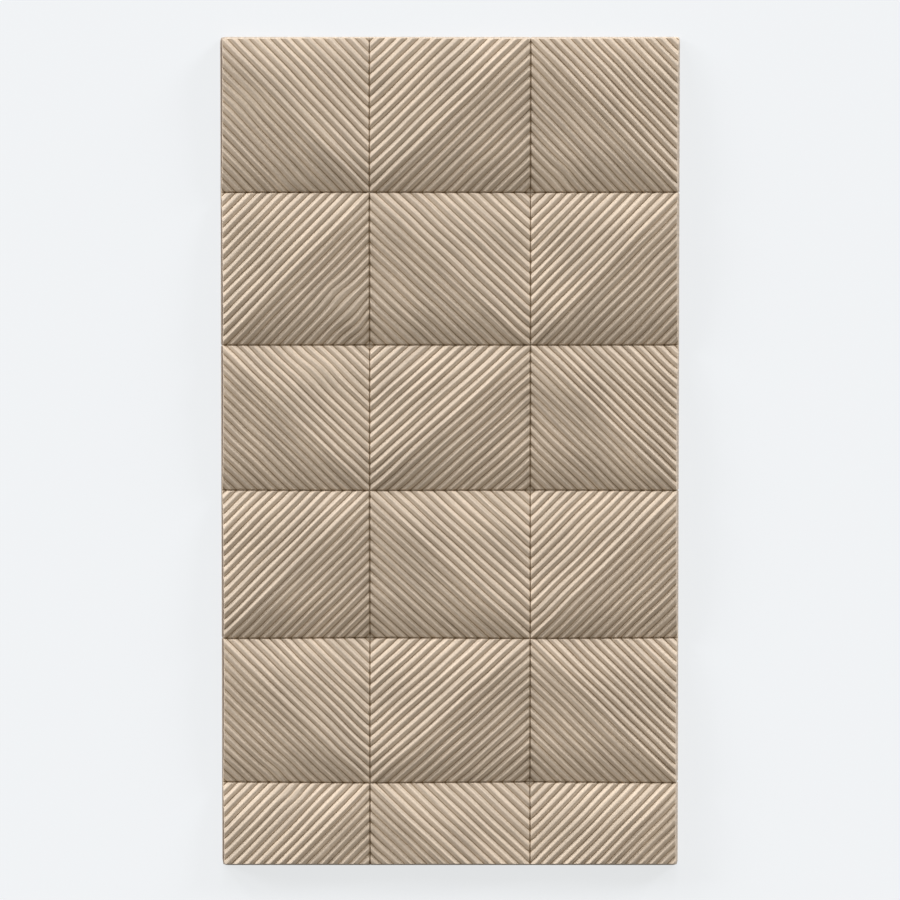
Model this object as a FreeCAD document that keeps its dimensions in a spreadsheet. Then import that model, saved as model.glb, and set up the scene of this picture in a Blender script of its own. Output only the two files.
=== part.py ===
import FreeCAD, Part
import Sketcher
import math
import os

# Relief wall panel, moulded in one piece, lying on its flat back.
# The origin is the middle of the back face, +X runs across the panel,
# +Y up its length and +Z out of the ribbed face.
# The face is a chequer of oblong cells. A ridge joins two opposite corners of
# each cell, ribs run beside the ridge, and the face falls to the other two corners
# and bends down along the cell's upper and lower borders.
# Neighbouring cells mirror each other, so their ribs meet as chevrons.

Vector = FreeCAD.Vector
UP = Vector(0, 0, 1)
doc = FreeCAD.newDocument("WallPanel")

# Driving dimensions, millimetres and degrees

sheet = doc.addObject("Spreadsheet::Sheet", "Sizes")
sizes = [
    ("PanelLength", 1087),  # along Y, it cuts through the last row of cells
    ("OuterColumnWidth", 195),  # first and last column of cells
    ("MiddleColumnWidth", 210),
    ("FirstRowHeight", 203),  # rows are counted from the top edge
    ("SecondRowHeight", 199),
    ("ThirdRowHeight", 190),
    ("FourthRowHeight", 194),
    ("FifthRowHeight", 190),
    ("SixthRowHeight", 198),
    ("RidgeHeight", 25),  # back face to the crest of a ridge
    ("CornerDrop", 9),  # fall of the face from a ridge to a low corner
    ("RoofSag", 1.1),  # how far the face hangs below a straight fall, halfway down
    ("ArchDrop", 7),  # further fall at a cell's upper and lower borders
    ("ArchWidth", 45),  # how far from those borders the face bends down
    ("RibsPerSide", 14),  # rib spacings between a ridge and a low corner
    ("RibDepth", 2.7),  # crest to valley
    ("CrestWidth", 2.2),  # flat top of a rib
    ("GrooveDepth", 3),  # V groove on every cell border, below the crests
    ("GrooveHalfWidth", 1.8),
    ("WallDraft", 12),  # lean of the side walls from upright
    ("CornerRadius", 3),  # upright corners of the panel
    ("NotchDepth", 1.5),  # nick in the side wall at the end of each groove
]
for row, (alias, value) in enumerate(sizes, start=1):
    sheet.set("A%d" % row, alias)
    sheet.set("B%d" % row, str(value))
    sheet.setAlias("B%d" % row, alias)
doc.recompute()


def size(alias):
    return float(sheet.get(alias))


# Lines of the cell borders, from the left edge and from the top edge

column_widths = [size("OuterColumnWidth"), size("MiddleColumnWidth"), size("OuterColumnWidth")]
panel_width = sum(column_widths)
row_names = ["First", "Second", "Third", "Fourth", "Fifth", "Sixth"]
row_heights = [size(name + "RowHeight") for name in row_names]
while sum(row_heights) < size("PanelLength"):
    row_heights.append(size("SixthRowHeight"))

left_edge = -panel_width / 2
top_edge = size("PanelLength") / 2
column_lines = [left_edge + sum(column_widths[:count]) for count in range(len(column_widths) + 1)]
row_lines = [top_edge - sum(row_heights[:count]) for count in range(len(row_heights) + 1)]

# How far construction solids run past the surfaces that they cut, millimetres
OVERRUN = 1

# Blank: the slab before its face is ribbed, with leaning walls and rounded corners

blank = doc.addObject("PartDesign::Body", "blank")


def attach_to_base(sketch, body):
    for feature in body.Origin.OriginFeatures:
        if feature.Role == "XY_Plane":
            sketch.AttachmentSupport = [(feature, "")]
            sketch.MapMode = "FlatFace"


def centred_rectangle(sketch, width, length):
    corners = [
        Vector(-width / 2, -length / 2),
        Vector(width / 2, -length / 2),
        Vector(width / 2, length / 2),
        Vector(-width / 2, length / 2),
    ]
    for side in range(4):
        sketch.addGeometry(Part.LineSegment(corners[side], corners[(side + 1) % 4]), False)
    for side in range(4):
        sketch.addConstraint(Sketcher.Constraint("Coincident", side, 2, (side + 1) % 4, 1))
    for side in (0, 2):
        sketch.addConstraint(Sketcher.Constraint("Horizontal", side))
        sketch.addConstraint(Sketcher.Constraint("Vertical", side + 1))
    sketch.addConstraint(Sketcher.Constraint("Symmetric", 0, 1, 2, 1, -1, 1))
    across = sketch.addConstraint(Sketcher.Constraint("DistanceX", 0, 1, 0, 2, width))
    sketch.renameConstraint(across, "Across")
    along = sketch.addConstraint(Sketcher.Constraint("DistanceY", 1, 1, 1, 2, length))
    sketch.renameConstraint(along, "Along")


outline = blank.newObject("Sketcher::SketchObject", "BlankOutline")
attach_to_base(outline, blank)
centred_rectangle(outline, panel_width, size("PanelLength"))
outline.setExpression("Constraints.Across", "2 * Sizes.OuterColumnWidth + Sizes.MiddleColumnWidth")
outline.setExpression("Constraints.Along", "Sizes.PanelLength")

slab = blank.newObject("PartDesign::Pad", "Slab")
slab.Profile = outline
slab.setExpression("Length", "Sizes.RidgeHeight + %g" % OVERRUN)
slab.setExpression("TaperAngle", "-Sizes.WallDraft")
doc.recompute()


def upright_edges(shape):
    names = []
    for number, edge in enumerate(shape.Edges, start=1):
        heights = [vertex.Z for vertex in edge.Vertexes]
        if max(heights) - min(heights) > size("RidgeHeight") / 2:
            names.append("Edge%d" % number)
    return names


rounding = blank.newObject("PartDesign::Fillet", "CornerRounding")
rounding.Base = (slab, upright_edges(slab.Shape))
rounding.setExpression("Radius", "Sizes.CornerRadius")
doc.recompute()

# Nicks: square bars standing on a corner, one at each end of every inner groove


def add_nick(name, x, y):
    nick = doc.addObject("Part::Prism", name)
    nick.Polygon = 4
    nick.setExpression("Circumradius", "Sizes.NotchDepth")
    nick.setExpression("Height", "Sizes.RidgeHeight + 2 * %g" % OVERRUN)
    nick.Placement = FreeCAD.Placement(Vector(x, y, -OVERRUN), FreeCAD.Rotation())
    return nick


nicks = []
for number, x in enumerate(column_lines[1:-1], start=1):
    nicks.append(add_nick("top_nick_%d" % number, x, top_edge))
    nicks.append(add_nick("bottom_nick_%d" % number, x, -top_edge))
for number, y in enumerate(row_lines[1:-1], start=1):
    if y > -top_edge:
        nicks.append(add_nick("left_nick_%d" % number, left_edge, y))
        nicks.append(add_nick("right_nick_%d" % number, -left_edge, y))

nick_set = doc.addObject("Part::Compound", "nicks")
nick_set.Links = nicks
nicked = doc.addObject("Part::Cut", "nicked_blank")
nicked.Base = blank
nicked.Tool = nick_set

# Ribbed face: each cell is three blocks, the level middle and the two bent ends,
# with the ribs running through all three


def crest_height(share):
    """Height of the crests at a share of the way from the ridge to a low corner."""
    return size("RidgeHeight") - size("CornerDrop") * share - 4 * size("RoofSag") * share * (1 - share)


def bent(point, bend, slope):
    """The point after the face is tilted about the level line at y = bend."""
    return point + UP * (slope * (point.y - bend))


def rib_section(span):
    """Outline across the ribs of one cell, from low corner to low corner."""
    ribs = int(round(size("RibsPerSide")))
    pitch = span / ribs
    points = [Vector(-span - pitch / 2, 0, -OVERRUN)]
    for rib in range(-ribs, ribs + 1):
        middle = rib * pitch
        crest = crest_height(abs(rib) / ribs)
        valley = crest_height(abs(rib - 0.5) / ribs) - size("RibDepth")
        points.append(Vector(middle - pitch / 2, 0, valley))
        points.append(Vector(middle - size("CrestWidth") / 2, 0, crest))
        points.append(Vector(middle + size("CrestWidth") / 2, 0, crest))
    points.append(Vector(span + pitch / 2, 0, valley))
    points.append(Vector(span + pitch / 2, 0, -OVERRUN))
    return points


def ribbed_bar(width, height, ridge_falls, bend, slope):
    """A bar of the rib section along the cell's diagonal, tilted about y = bend."""
    diagonal = math.hypot(width, height)
    along = Vector(width, -height if ridge_falls else height, 0) * (1 / diagonal)
    across = UP.cross(along)
    run = along * (diagonal + width + height)
    outline = []
    for place in rib_section(width * height / diagonal):
        start = across * place.x + UP * place.z - run * 0.5
        outline.append(bent(start, bend, slope))
    end = Part.Face(Part.makePolygon(outline + outline[:1]))
    return end.extrude(bent(run, 0, slope))


def groove_flank(start, end):
    """Plane that rises inward from the groove line between two corners of a block."""
    line = end - start
    inward = UP.cross(Vector(line.x, line.y, 0)).normalize()
    rise = inward * size("GrooveHalfWidth") + UP * size("GrooveDepth")
    return start, line.cross(rise).normalize()


def meeting_point(planes):
    (point_a, a), (point_b, b), (point_c, c) = planes
    total = b.cross(c) * a.dot(point_a) + c.cross(a) * b.dot(point_b) + a.cross(b) * c.dot(point_c)
    return total * (1 / a.dot(b.cross(c)))


def block_room(base, groove, grooved):
    """Room of one block: upright sides, with groove flanks above the groove lines."""
    planes = []
    for side in range(4):
        start, end = groove[side], groove[(side + 1) % 4]
        if grooved[side]:
            planes.append(groove_flank(start, end))
        else:
            planes.append((start, UP.cross(Vector(end.x - start.x, end.y - start.y, 0))))
    lid = (Vector(0, 0, size("RidgeHeight") + OVERRUN), UP)
    top = [meeting_point([planes[side - 1], planes[side], lid]) for side in range(4)]
    outlines = [base, top]
    for side in range(4):
        after = (side + 1) % 4
        below = [base[side], base[after], groove[after], groove[side]]
        above = [groove[side], groove[after], top[after], top[side]]
        if grooved[side]:
            outlines += [below, above]
        else:
            outlines.append(below[:3] + above[2:] + below[3:])
    faces = [Part.Face(Part.makePolygon(points + points[:1])) for points in outlines]
    return Part.makeSolid(Part.makeShell(faces))


def cell_blocks(width, height, ridge_falls):
    """The three blocks of one cell, about its middle, from the lower end to the upper."""
    bend = height / 2 - size("ArchWidth")
    tilt = size("ArchDrop") / size("ArchWidth")
    bands = [(-height / 2, -bend, -bend, tilt), (-bend, bend, 0, 0), (bend, height / 2, bend, -tilt)]
    blocks = []
    for low, high, hinge, slope in bands:
        base = []
        groove = []
        for x, y in ((-width / 2, low), (width / 2, low), (width / 2, high), (-width / 2, high)):
            share = abs(x / width + y / height) if ridge_falls else abs(x / width - y / height)
            base.append(Vector(x, y, -OVERRUN))
            crest = bent(Vector(x, y, crest_height(share)), hinge, slope)
            groove.append(crest - UP * size("GrooveDepth"))
        grooved = [low < -bend, True, high > bend, True]
        bar = ribbed_bar(width, height, ridge_falls, hinge, slope)
        blocks.append(bar.common(block_room(base, groove, grooved)))
    return blocks


def ribbed_relief():
    """All the cells side by side, in chequer order, as one solid."""
    blocks = []
    made = {}
    for row, height in enumerate(row_heights):
        for column, width in enumerate(column_widths):
            ridge_falls = (row + column) % 2 == 0
            kind = (width, height, ridge_falls)
            if kind not in made:
                made[kind] = cell_blocks(width, height, ridge_falls)
            middle = Vector(column_lines[column] + width / 2, row_lines[row] - height / 2, 0)
            for block in made[kind]:
                placed = block.copy()
                placed.translate(middle)
                blocks.append(placed)
    return blocks[0].multiFuse(blocks[1:])


relief = doc.addObject("Part::Feature", "relief")
relief.Shape = ribbed_relief()

panel = doc.addObject("Part::Common", "RibbedPanel")
panel.Label = "wall_panel"
panel.Base = nicked
panel.Tool = relief
panel.Refine = False
doc.recompute()

# Checks before anything is written


def check_model():
    for item in doc.Objects:
        if "Invalid" in item.State or "Error" in item.State:
            raise RuntimeError("%s did not rebuild: %s" % (item.Label, item.State))
    if panel.Shape.isNull() or not panel.Shape.isValid():
        raise RuntimeError("the panel is not a sound solid")
    if len(panel.Shape.Solids) != 1:
        raise RuntimeError("the panel has to be one solid")
    if not panel.Shape.Volume < nicked.Shape.Volume < blank.Shape.Volume:
        raise RuntimeError("the ribs or the nicks cut nothing")


check_model()
os.makedirs("parts", exist_ok=True)
panel.Shape.exportStep(os.path.join("parts", panel.Label + ".step"))
box = panel.Shape.optimalBoundingBox()
print("wall_panel: %.1f x %.1f x %.1f mm" % (box.XLength, box.YLength, box.ZLength))
print("volume %.0f mm3, %d faces" % (panel.Shape.Volume, len(panel.Shape.Faces)))
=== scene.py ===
import bpy
import bmesh
import math
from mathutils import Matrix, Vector, noise


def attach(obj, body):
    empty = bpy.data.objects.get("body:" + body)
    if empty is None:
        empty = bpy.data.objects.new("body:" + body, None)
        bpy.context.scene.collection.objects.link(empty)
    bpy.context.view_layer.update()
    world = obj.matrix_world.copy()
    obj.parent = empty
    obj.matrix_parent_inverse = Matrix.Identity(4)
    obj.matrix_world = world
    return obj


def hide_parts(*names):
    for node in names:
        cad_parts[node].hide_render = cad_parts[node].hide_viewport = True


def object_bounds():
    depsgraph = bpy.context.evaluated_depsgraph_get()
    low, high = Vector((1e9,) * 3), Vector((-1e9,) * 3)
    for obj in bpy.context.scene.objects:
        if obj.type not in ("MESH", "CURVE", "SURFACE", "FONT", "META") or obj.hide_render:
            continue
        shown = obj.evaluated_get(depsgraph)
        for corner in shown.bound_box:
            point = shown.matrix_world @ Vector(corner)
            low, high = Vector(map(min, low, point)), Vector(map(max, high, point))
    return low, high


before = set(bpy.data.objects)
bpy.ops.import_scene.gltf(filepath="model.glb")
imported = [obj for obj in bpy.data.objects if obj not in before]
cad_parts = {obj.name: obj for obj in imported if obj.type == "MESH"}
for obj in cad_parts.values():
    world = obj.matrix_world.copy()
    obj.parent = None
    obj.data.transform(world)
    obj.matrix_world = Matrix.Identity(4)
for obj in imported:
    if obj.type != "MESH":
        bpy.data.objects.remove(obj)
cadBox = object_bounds()
print("frame loaded")

mm = 0.001

# the panel's own sizes in millimetres, as the solid has them
panel = {
    "columns": [195, 210, 195],
    "rows": [203, 199, 190, 194, 190, 198],  # from the top edge, the last one is cut
    "ridgeHeight": cadBox[1][2] / mm,
    "cornerDrop": 9,
    "roofSag": 1.1,  # the face hangs this much below a straight fall, halfway down
    "ribsPerSide": 14,
    "ribDepth": 2.7,
    "crestRound": 0.22,  # 0 is a sharp crest between flat flanks
    "grooveDepth": 3.0,
    "grooveHalfWidth": 1.8,
    "wallDraft": 12,
    "cornerRadius": 3,
    "notchDepth": 1.5,
    "edgeEase": 1.0,
    "archWidth": 60,  # the face rounds down over this much at each cell border
    "archDropEnds": 7,
    "archDropSides": 1,
    "rimWidth": 3,
    "ribStations": [0, 0.06, 0.15, 0.43, 0.5, 0.57, 0.85, 0.94],  # shares of a rib spacing, crest to crest
    "stepsAlong": 22,
}
# places where the moulding is smudged: middle, half sizes along X and Y,
# how much depth is lost and how far the ribs are pushed aside
smudges = [
    {"place": (-265, 455), "reach": (24, 20), "loss": 0.75, "push": 1.5},
    {"place": (-202, 352), "reach": (26, 14), "loss": 0.6, "push": -1.5},
    {"place": (-150, 208), "reach": (20, 16), "loss": 0.6, "push": 2.5},
    {"place": (-124, 172), "reach": (16, 22), "loss": 0.45, "push": -2.5},
    {"place": (-170, 108), "reach": (24, 18), "loss": 0.65, "push": 2},
    {"place": (150, 365), "reach": (14, 16), "loss": 0.5, "push": 1.5},
    {"place": (-225, -415), "reach": (20, 14), "loss": 0.55, "push": 1.5},
    {"place": (-208, -448), "reach": (16, 12), "loss": 0.5, "push": -1.5},
]
wobble = {
    "sideways": 1.0,  # how far the ribs stray together, millimetres
    "sidewaysLength": 55,
    "ownWay": 0.55,  # how far each rib strays by itself
    "ownLength": 80,
    "ownSpread": 8,
    "depthChange": 0.24,
    "rightDepth": 0.32,  # the right-hand cells with a falling ridge are cut deeper above it
    "borderFade": 14,
}
# how dark each side wall is, from 0 as the face to 1: at its rim, its middle and its back edge; the left and
# bottom walls are darker as painted shade, the bottom one also as a painted contact shadow
wallShade = {
    "left": (0.35, 1.0, 0.4),
    "right": (0, 0.35, 0.2),
    "top": (0, 0.35, 0.2),
    "bottom": (1.0, 0.9, 0.7),
}
backShade = 0.3
backGrain = (6, 0.25)  # evens the hair pattern out on the back
backMargin = 4  # millimetres
width = sum(panel["columns"])
length = (cadBox[1][1] - cadBox[0][1]) / mm
columnLines = [sum(panel["columns"][:n]) - width / 2 for n in range(4)]
rowLines = [length / 2 - sum(panel["rows"][:n]) for n in range(7)]


def alongSteps(ribLength):
    # distances along one rib: short at the grooves, longer towards the middle
    half = panel["stepsAlong"] // 2
    first = min(panel["grooveHalfWidth"] * 1.42, ribLength / 2 / half)
    low, high = 1.0, 3.0
    for attempt in range(40):
        ratio = (low + high) / 2
        reach = sum(first * ratio ** n for n in range(half))
        if reach < ribLength / 2:
            low = ratio
        else:
            high = ratio
    steps = [0.0]
    for n in range(half):
        steps.append(steps[-1] + first * ratio ** n)
    steps[-1] = ribLength / 2
    return steps + [ribLength - s for s in reversed(steps[:-1])]


def arch(distance, drop):
    # how far the face has rounded down at this distance from a cell border
    if distance >= panel["archWidth"]:
        return 0.0
    return drop * (1 - distance / panel["archWidth"]) ** 2


def ribShape(toValley):
    # 0 on the crest to 1 in the valley: flat flanks that meet in a rounded crest
    k = panel["crestRound"]
    return (math.hypot(toValley, k) - k) / (math.hypot(1, k) - k)


def smudged(x, y):
    # share of the rib depth that is left here, and how far the ribs are pushed aside
    left, push = 1.0, 0.0
    for spot in smudges:
        apart = math.hypot((x - spot["place"][0]) / spot["reach"][0], (y - spot["place"][1]) / spot["reach"][1])
        left -= spot["loss"] * math.exp(-apart ** 2)
        push += spot["push"] * math.exp(-apart ** 2)
    return max(left, 0.15), push


def ribNoise(x, y, slant, seed):
    # changes slowly along a rib and quickly from rib to rib
    along = x * math.cos(slant) + y * math.sin(slant)
    across = y * math.cos(slant) - x * math.sin(slant)
    return noise.noise(Vector((along / wobble["ownLength"], across / wobble["ownSpread"], seed)))


def faceHeight(offset, nearSide, nearEnd, depthLeft):
    # offset runs from 0 on the ridge to 1 at the low corner
    crest = panel["ridgeHeight"] - panel["cornerDrop"] * offset
    crest -= 4 * panel["roofSag"] * offset * (1 - offset)
    crest -= arch(nearSide, panel["archDropSides"]) + arch(nearEnd, panel["archDropEnds"])
    ribs = offset * panel["ribsPerSide"]
    valley = ribShape(2 * abs(ribs - round(ribs)))
    ribCut = panel["ribDepth"] * valley * depthLeft
    inGroove = max(0.0, 1 - min(nearSide, nearEnd) / panel["grooveHalfWidth"])
    # painted shade: the valleys are darkened, and end in dark spots in the grooves
    shade = max(valley, 0.85 * inGroove) + 0.4 * valley * inGroove
    return crest - max(ribCut, panel["grooveDepth"] * inGroove), shade


def halfCell(bm, left, bottom, cellWidth, cellHeight, falls, upper):
    # one side of a cell's ridge: a grid laid along the ribs
    stations = panel["ribStations"]
    across = panel["ribsPerSide"] * len(stations)
    along = panel["stepsAlong"]
    grid = bmesh.ops.create_grid(bm, x_segments=across, y_segments=along, size=1)
    valleys = bm.verts.layers.float["valley"]
    grain = bm.loops.layers.uv["grain"]
    slant = math.atan2(-cellHeight if falls else cellHeight, cellWidth)
    rows = {}
    for vert in grid["verts"]:
        column = round((vert.co.x + 1) / 2 * across)
        row = round((vert.co.y + 1) / 2 * along)
        rib, station = divmod(column, len(stations))
        offset = (rib + stations[station]) / panel["ribsPerSide"]
        if column not in rows:
            diagonal = math.hypot(cellWidth, cellHeight)
            rows[column] = alongSteps(max((1 - offset) * diagonal, 1e-6))
        steps = rows[column]
        share = steps[row] / steps[-1]
        # a rising ridge, lower right half: from the bottom border to the right border
        x = (offset + (1 - offset) * share) * cellWidth
        y = (1 - offset) * share * cellHeight
        if upper:
            x, y = cellWidth - x, cellHeight - y
        if falls:
            y = cellHeight - y
        nearSide = min(x, cellWidth - x)
        nearEnd = min(y, cellHeight - y)
        fade = min(1.0, min(nearSide, nearEnd) / wobble["borderFade"])
        depthLeft, push = smudged(left + x, bottom + y)
        ownDepth = wobble["depthChange"] * ribNoise(left + x, bottom + y, slant, 3.7)
        if falls and not upper and left > 0:
            ownDepth += wobble["rightDepth"]
        ownDepth *= fade
        z, vert[valleys] = faceHeight(offset, nearSide, nearEnd, depthLeft * (1 + ownDepth))
        # no painted shade spots in the grooves this close to the panel's rim
        if min(width / 2 - abs(left + x), length / 2 - abs(bottom + y)) < panel["rimWidth"]:
            vert[valleys] = min(vert[valleys], 1.0)
        seed = Vector((left, bottom, 7)) + Vector((x, y, 0)) / wobble["sidewaysLength"]
        stray = wobble["sideways"] * noise.noise(seed)
        stray += wobble["ownWay"] * ribNoise(left + x, bottom + y, slant, 9.1)
        stray = fade * (stray + push)
        x += stray * -math.sin(slant)
        y += stray * math.cos(slant)
        vert.co = Vector((left + x, bottom + y, z)) * mm
    for face in {face for vert in grid["verts"] for face in vert.link_faces}:
        for loop in face.loops:
            x, y = loop.vert.co.x, loop.vert.co.y
            loop[grain].uv = (
                x * math.cos(slant) + y * math.sin(slant), y * math.cos(slant) - x * math.sin(slant))


def outward(co):
    # level direction from the panel's middle square to its rim
    r = panel["cornerRadius"] * 2.5 * mm
    insideX = max(-width / 2 * mm + r, min(width / 2 * mm - r, co.x))
    insideY = max(-length / 2 * mm + r, min(length / 2 * mm - r, co.y))
    away = Vector((co.x - insideX, co.y - insideY, 0))
    return away.normalized()


def trimWalls(bm):
    lean = math.radians(panel["wallDraft"])
    inset = panel["edgeEase"] * (1 - math.tan(lean))
    halfX = width / 2 - inset
    halfY = length / 2 - inset
    r = panel["cornerRadius"]
    for turn in range(0, 360, 90):
        for part in (0, 22.5, 45, 67.5):
            angle = math.radians(turn + part)
            flat = Vector((math.cos(angle), math.sin(angle), 0))
            reachX = halfX - r
            reachY = halfY - r
            reach = reachX * abs(flat.x) + reachY * abs(flat.y) + r
            normal = Vector((flat.x * math.cos(lean), flat.y * math.cos(lean), math.sin(lean)))
            geom = bm.verts[:] + bm.edges[:] + bm.faces[:]
            bmesh.ops.bisect_plane(
                bm, geom=geom, dist=1e-6, plane_co=flat * reach * mm, plane_no=normal, clear_outer=True)


def shadeOf(away, place):
    # place is 0 for the rim of a side wall, 1 for its middle and 2 for its back edge
    parts = {"left": max(0, -away.x), "right": max(0, away.x), "top": max(0, away.y), "bottom": max(0, -away.y)}
    return sum(wallShade[side][place] * part for side, part in parts.items()) / sum(parts.values())


def extrudeRim(bm, move):
    rim = [edge for edge in bm.edges if edge.is_boundary]
    made = bmesh.ops.extrude_edge_only(bm, edges=rim)
    for vert in [item for item in made["geom"] if isinstance(item, bmesh.types.BMVert)]:
        vert[bm.verts.layers.float["wall"]] = move(vert)
        # 0 gives the new rim and wall points the crest colour, which is painted a little lighter as a highlight
        vert[bm.verts.layers.float["valley"]] = 0


def easeRim(vert):
    away = outward(vert.co)
    ease = panel["edgeEase"] * mm
    vert.co += away * ease + Vector((0, 0, -ease))
    return shadeOf(away, 0)


def belowRim(vert):
    away = outward(vert.co)
    drop = 0.4 * mm
    vert.co += away * drop * math.tan(math.radians(panel["wallDraft"])) + Vector((0, 0, -drop))
    return shadeOf(away, 1)


def halfDown(vert):
    away = outward(vert.co)
    drop = vert.co.z * 0.45
    vert.co += away * drop * math.tan(math.radians(panel["wallDraft"])) + Vector((0, 0, -drop))
    return shadeOf(away, 1)


def toBase(vert):
    away = outward(vert.co)
    vert.co += away * vert.co.z * math.tan(math.radians(panel["wallDraft"]))
    vert.co.z = 0
    nearest = 1.0
    if abs(away.x) > 0.9:
        nearest = min(abs(vert.co.y - line * mm) for line in rowLines[1:6])
    if abs(away.y) > 0.9:
        nearest = min(abs(vert.co.x - line * mm) for line in columnLines[1:3])
    if nearest < 0.2 * mm:
        vert.co -= away * panel["notchDepth"] * mm
    return shadeOf(away, 2)


def ontoBack(vert):
    # a narrow margin on the back, straight along the nicks
    insideX = (width / 2 - backMargin) * mm
    insideY = (length / 2 - backMargin) * mm
    vert.co.x = max(-insideX, min(insideX, vert.co.x))
    vert.co.y = max(-insideY, min(insideY, vert.co.y))
    return backShade


def buildPanel():
    bm = bmesh.new()
    bm.verts.layers.float.new("valley")
    bm.verts.layers.float.new("wall")
    bm.loops.layers.uv.new("grain")
    for row, cellHeight in enumerate(panel["rows"]):
        for column, cellWidth in enumerate(panel["columns"]):
            falls = (row + column) % 2 == 0
            for upper in (False, True):
                halfCell(bm, columnLines[column], rowLines[row] - cellHeight, cellWidth, cellHeight, falls, upper)
    bmesh.ops.remove_doubles(bm, verts=bm.verts, dist=0.02 * mm)
    bmesh.ops.recalc_face_normals(bm, faces=bm.faces)
    if sum(face.normal.z for face in bm.faces) < 0:
        bmesh.ops.reverse_faces(bm, faces=bm.faces)
    trimWalls(bm)
    bmesh.ops.dissolve_degenerate(bm, edges=bm.edges, dist=0.005 * mm)
    for move in (easeRim, belowRim, halfDown, toBase):
        extrudeRim(bm, move)
    for face in bm.faces:
        face.smooth = True
    extrudeRim(bm, ontoBack)
    bmesh.ops.remove_doubles(bm, verts=[vert for vert in bm.verts if vert.is_boundary], dist=0.005 * mm)
    rim = [edge for edge in bm.edges if edge.is_boundary]
    bmesh.ops.triangle_fill(bm, edges=rim, use_beauty=True)
    bmesh.ops.dissolve_degenerate(bm, edges=bm.edges, dist=0.005 * mm)
    grain = bm.loops.layers.uv["grain"]
    for face in bm.faces:
        if max(vert.co.z for vert in face.verts) < 0.01 * mm:
            for loop in face.loops:
                loop[grain].uv = (loop.vert.co.x * backGrain[0], loop.vert.co.y * backGrain[1])
    bmesh.ops.recalc_face_normals(bm, faces=bm.faces)
    mesh = bpy.data.meshes.new("ribbedPanel")
    bm.to_mesh(mesh)
    print("panel: %d faces, open edges %d" % (len(bm.faces), sum(edge.is_boundary for edge in bm.edges)))
    bm.free()
    mesh.set_sharp_from_angle(angle=math.radians(40))
    piece = bpy.data.objects.new("ribbedPanel", mesh)
    bpy.context.scene.collection.objects.link(piece)
    return piece


fibre = {
    # the crest colour is a little lighter as a painted highlight; valley and groove are darker as painted shade
    "crest": (0.734, 0.670, 0.594),  # as a picture shows them, from 0 to 1
    "flank": (0.720, 0.650, 0.564),
    "valley": (0.53, 0.432, 0.312),
    "groove": (0.22, 0.165, 0.115),
    # the sawn edges' own darker tone, which the wall shares also use for painted shade
    "wall": (0.30, 0.222, 0.145),
    "roughness": 0.6,
    "specular": 0.35,
    "mottleScale": 14,
    "fleckScale": 420,
    "hairStretch": (9, 400, 1),  # along and across the ribs
    "hairHeight": 0.0005,
    "fleckHeight": 0.00005,
}


def linear(colour):
    return tuple(((c + 0.055) / 1.055) ** 2.4 if c > 0.04045 else c / 12.92 for c in colour) + (1,)


class Weave:
    # the nodes of a material or world, added and joined by short calls
    def __init__(self, owner):
        owner.use_nodes = True
        self.owner = owner
        self.nodes = owner.node_tree.nodes
        self.shader = self.nodes.get("Principled BSDF")

    def join(self, value, socket):
        if isinstance(value, bpy.types.NodeSocket):
            self.owner.node_tree.links.new(value, socket)
        else:
            socket.default_value = value

    def add(self, kind, settings=None, **inputs):
        node = self.nodes.new("ShaderNode" + kind)
        for key, value in (settings or {}).items():
            setattr(node, key, value)
        for key, value in inputs.items():
            self.join(value, node.inputs[key])
        return node

    def sums(self, operation, first, second):
        node = self.nodes.new("ShaderNodeMath")
        node.operation = operation
        self.join(first, node.inputs[0])
        self.join(second, node.inputs[1])
        return node.outputs[0]

    def remap(self, value, fromLow, fromHigh, toLow, toHigh):
        node = self.nodes.new("ShaderNodeMapRange")
        self.join(value, node.inputs["Value"])
        for key, number in zip(("From Min", "From Max", "To Min", "To Max"), (fromLow, fromHigh, toLow, toHigh)):
            node.inputs[key].default_value = number
        return node.outputs["Result"]

    def blend(self, share, first, second, mode="MIX"):
        node = self.nodes.new("ShaderNodeMix")
        node.data_type = "RGBA"
        node.blend_type = mode
        self.join(share, node.inputs[0])
        self.join(first, node.inputs[6])
        self.join(second, node.inputs[7])
        return node.outputs[2]

    def shares(self, share, first, second):
        node = self.add("MixShader", Fac=share)
        self.join(first, node.inputs[1])
        self.join(second, node.inputs[2])
        return node.outputs["Shader"]

    def seen(self):
        # 1 for what is looked at directly, in a gloss or through glass
        path = self.add("LightPath")
        either = self.sums("MAXIMUM", path.outputs["Is Camera Ray"], path.outputs["Is Glossy Ray"])
        return self.sums("MAXIMUM", either, path.outputs["Is Transmission Ray"])


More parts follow.
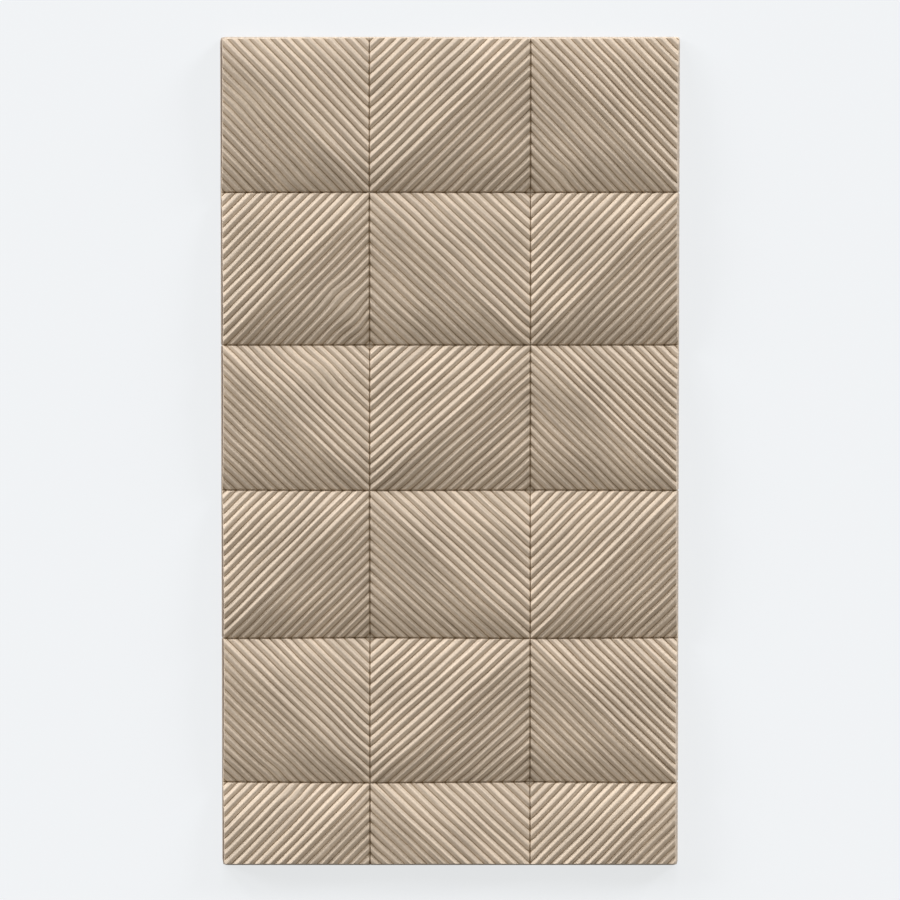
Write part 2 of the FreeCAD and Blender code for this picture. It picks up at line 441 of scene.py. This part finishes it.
def fibreboard():
    weave = Weave(bpy.data.materials.new("fibreboard"))
    place = weave.add("TexCoord").outputs["Object"]
    along = weave.add("UVMap", {"uv_map": "grain"}).outputs["UV"]
    valley = weave.add("Attribute", {"attribute_name": "valley"}).outputs["Fac"]
    stretched = weave.add("Mapping", Vector=along, Scale=fibre["hairStretch"]).outputs["Vector"]
    hairs = weave.add("TexNoise", Vector=stretched, Scale=1.0, Detail=3.0).outputs["Fac"]
    flecks = weave.add("TexNoise", Vector=place, Scale=fibre["fleckScale"], Detail=4.0).outputs["Fac"]
    mottle = weave.add("TexNoise", Vector=place, Scale=fibre["mottleScale"], Detail=3.0).outputs["Fac"]

    # painted highlight and shade: crests are painted a little lighter, valleys darker and the dark spots in the
    # grooves darker still
    high = weave.blend(weave.remap(valley, 0.0, 0.35, 0.0, 1.0), linear(fibre["crest"]), linear(fibre["flank"]))
    colour = weave.blend(weave.remap(valley, 0.78, 1.0, 0.0, 1.0), high, linear(fibre["valley"]))
    colour = weave.blend(weave.remap(valley, 1.0, 1.4, 0.0, 1.0), colour, linear(fibre["groove"]))
    for texture, low, up in ((hairs, 0.87, 1.10), (flecks, 0.95, 1.04), (mottle, 0.96, 1.04)):
        strength = weave.remap(texture, 0.4, 0.6, low, up)
        colour = weave.blend(1.0, colour, strength, "MULTIPLY")

    # the sawn side walls are darker, and the left and bottom ones darker still with painted shade
    wall = weave.add("Attribute", {"attribute_name": "wall"}).outputs["Fac"]
    colour = weave.blend(wall, colour, linear(fibre["wall"]))
    weave.join(colour, weave.shader.inputs["Base Color"])

    weave.shader.inputs["Roughness"].default_value = fibre["roughness"]
    weave.shader.inputs["Specular IOR Level"].default_value = fibre["specular"]
    hairBump = weave.add("Bump", Height=hairs, Distance=fibre["hairHeight"])
    fleckBump = weave.add("Bump", Height=flecks, Distance=fibre["fleckHeight"], Normal=hairBump.outputs["Normal"])
    weave.join(fleckBump.outputs["Normal"], weave.shader.inputs["Normal"])
    return weave.owner


ribbedPanel = buildPanel()
ribbedPanel.data.materials.append(fibreboard())
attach(ribbedPanel, "root")
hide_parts("wall_panel")
print("panel built")

studio = {
    "cameraPlace": (0, 0.166, 4.2),
    "cameraTilt": -2.21,  # degrees from straight down, towards the panel's middle
    "lens": 128.2,
    "sensor": 36,
    "skyStrength": 0.395,
    "skyColour": (1, 0.965, 0.90, 1),
    "floorColour": (0.86, 0.87, 0.89, 1),
    "floorGlow": 0.78,
    "floorGap": 0.0002,  # below the panel's back
    "glowColour": (0.885, 0.905, 0.92, 1),
    "lampColour": (0.975, 1, 1.06),
}
# soft suns: azimuth counts from +Y towards -X, both angles in degrees
suns = {
    "leftRake": {"azimuth": 65, "elevation": 12, "spread": 16, "strength": 2.6},
    "topRake": {"azimuth": 35, "elevation": 12, "spread": 16, "strength": 1.63},
    "rightRake": {"azimuth": -51, "elevation": 12, "spread": 18, "strength": 2.9},
    "topFill": {"azimuth": 0, "elevation": 28, "spread": 24, "strength": 0.92},
}


def buildCamera():
    data = bpy.data.cameras.new("camera")
    camera = bpy.data.objects.new("camera", data)
    bpy.context.scene.collection.objects.link(camera)
    camera.location = studio["cameraPlace"]
    camera.rotation_euler = (math.radians(studio["cameraTilt"]), 0, 0)
    data.sensor_width = studio["sensor"]
    data.lens = studio["lens"]
    data.clip_end = 50
    bpy.context.scene.camera = camera


def buildLights():
    for name, setting in suns.items():
        azimuth = math.radians(setting["azimuth"])
        elevation = math.radians(setting["elevation"])
        data = bpy.data.lights.new(name, "SUN")
        data.energy = setting["strength"]
        data.color = studio["lampColour"]
        data.angle = math.radians(setting["spread"])
        sun = bpy.data.objects.new(name, data)
        bpy.context.scene.collection.objects.link(sun)
        level = math.cos(elevation)
        sun.location = (-math.sin(azimuth) * level, math.cos(azimuth) * level, math.sin(elevation))
        sun.rotation_euler = (-sun.location).to_track_quat("-Z", "Y").to_euler()


def buildSky():
    world = bpy.data.worlds.new("studio")
    bpy.context.scene.world = world
    weave = Weave(world)
    lights = weave.add("Background", Color=studio["skyColour"], Strength=studio["skyStrength"])
    looks = weave.add("Background", Color=studio["glowColour"])
    sky = weave.shares(weave.seen(), lights.outputs["Background"], looks.outputs["Background"])
    weave.join(sky, weave.nodes["World Output"].inputs["Surface"])


def floorMaterial():
    weave = Weave(bpy.data.materials.new("paleFloor"))
    weave.shader.inputs["Base Color"].default_value = studio["floorColour"]
    weave.shader.inputs["Roughness"].default_value = 0.8

    # seen directly or in a gloss, most of the tone is the floor's own, so its shadows stay pale
    glow = weave.add("Emission", Color=studio["glowColour"])
    share = weave.sums("MULTIPLY", weave.seen(), studio["floorGlow"])
    pale = weave.shares(share, weave.shader.outputs["BSDF"], glow.outputs["Emission"])

    # from below the floor is clear, so that the panel's back can be looked at
    clear = weave.add("BsdfTransparent").outputs["BSDF"]
    pale = weave.shares(weave.add("NewGeometry").outputs["Backfacing"], pale, clear)
    weave.join(pale, weave.nodes["Material Output"].inputs["Surface"])
    return weave.owner


def buildFloor():
    bm = bmesh.new()
    bmesh.ops.create_grid(bm, x_segments=1, y_segments=1, size=6)
    mesh = bpy.data.meshes.new("floor")
    bm.to_mesh(mesh)
    bm.free()
    floor = bpy.data.objects.new("floor", mesh)
    floor.location.z = -studio["floorGap"]
    bpy.context.scene.collection.objects.link(floor)
    floor.data.materials.append(floorMaterial())


buildCamera()
buildLights()
buildSky()
buildFloor()
bpy.context.scene.view_settings.view_transform = "Standard"
print("studio built")
